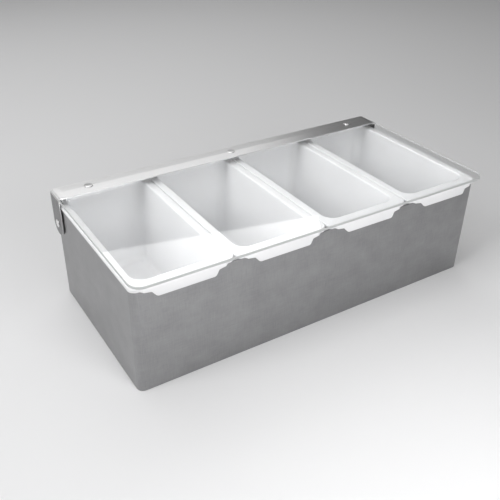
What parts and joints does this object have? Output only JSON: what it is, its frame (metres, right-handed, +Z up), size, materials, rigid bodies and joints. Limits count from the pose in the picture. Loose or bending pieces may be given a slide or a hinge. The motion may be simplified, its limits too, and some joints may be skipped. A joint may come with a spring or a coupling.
{
  "type": "condiment dispenser",
  "caption": "Folded steel case with lift-out white tubs hanging by their rims under a clear lid that swings back on a riveted steel hinge strip.",
  "frame": {"origin": "centre of the case's flat underside, on the surface it stands on", "axes": "+X along the long side, to the right when seen from the front; +Y to the back, where the lid is hinged; +Z up; the pull tabs face -Y"},
  "size_m": [0.3058, 0.1499, 0.0914],
  "materials": {
    "case_steel": "fine brushed stainless steel",
    "strip_steel": "bright stainless steel, brushed along its length",
    "rivet_steel": "smooth domed steel",
    "white_plastic": "satin white moulded plastic",
    "clear_plastic": "clear sheet with polished edges"
  },
  "bodies": {
    "case": {"case_wall": "case_steel", "case_base": "case_steel", "pivot_rivet_left": "rivet_steel", "pivot_rivet_right": "rivet_steel", "pivot_spacer_left": "rivet_steel", "pivot_spacer_right": "rivet_steel", "pivot_burr_left": "rivet_steel", "pivot_burr_right": "rivet_steel"},
    "lid": {"lid_sheet": "clear_plastic", "hinge_strip": "strip_steel", "lid_rivet_left": "rivet_steel", "lid_rivet_middle": "rivet_steel", "lid_rivet_right": "rivet_steel", "backing_washer_left": "rivet_steel", "backing_washer_middle": "rivet_steel", "backing_washer_right": "rivet_steel"},
    "tub_1": {"condiment_tub_1": "white_plastic"},
    "tub_2": {"condiment_tub_2": "white_plastic"},
    "tub_3": {"condiment_tub_3": "white_plastic"},
    "tub_4": {"condiment_tub_4": "white_plastic"}
  },
  "joints": [
    {"name": "lid_hinge", "type": "hinge", "parent": "case", "child": "lid", "pos_m": [0, 0.062, 0.066], "axis": [-1, 0, 0], "range_deg": [0, 135]},
    {"name": "tub_1_lift", "type": "slide", "parent": "case", "child": "tub_1", "axis": [0, 0, 1], "range_m": [0, 0.0024]},
    {"name": "tub_2_lift", "type": "slide", "parent": "case", "child": "tub_2", "axis": [0, 0, 1], "range_m": [0, 0.0024]},
    {"name": "tub_3_lift", "type": "slide", "parent": "case", "child": "tub_3", "axis": [0, 0, 1], "range_m": [0, 0.0024]},
    {"name": "tub_4_lift", "type": "slide", "parent": "case", "child": "tub_4", "axis": [0, 0, 1], "range_m": [0, 0.0024]}
  ]
}
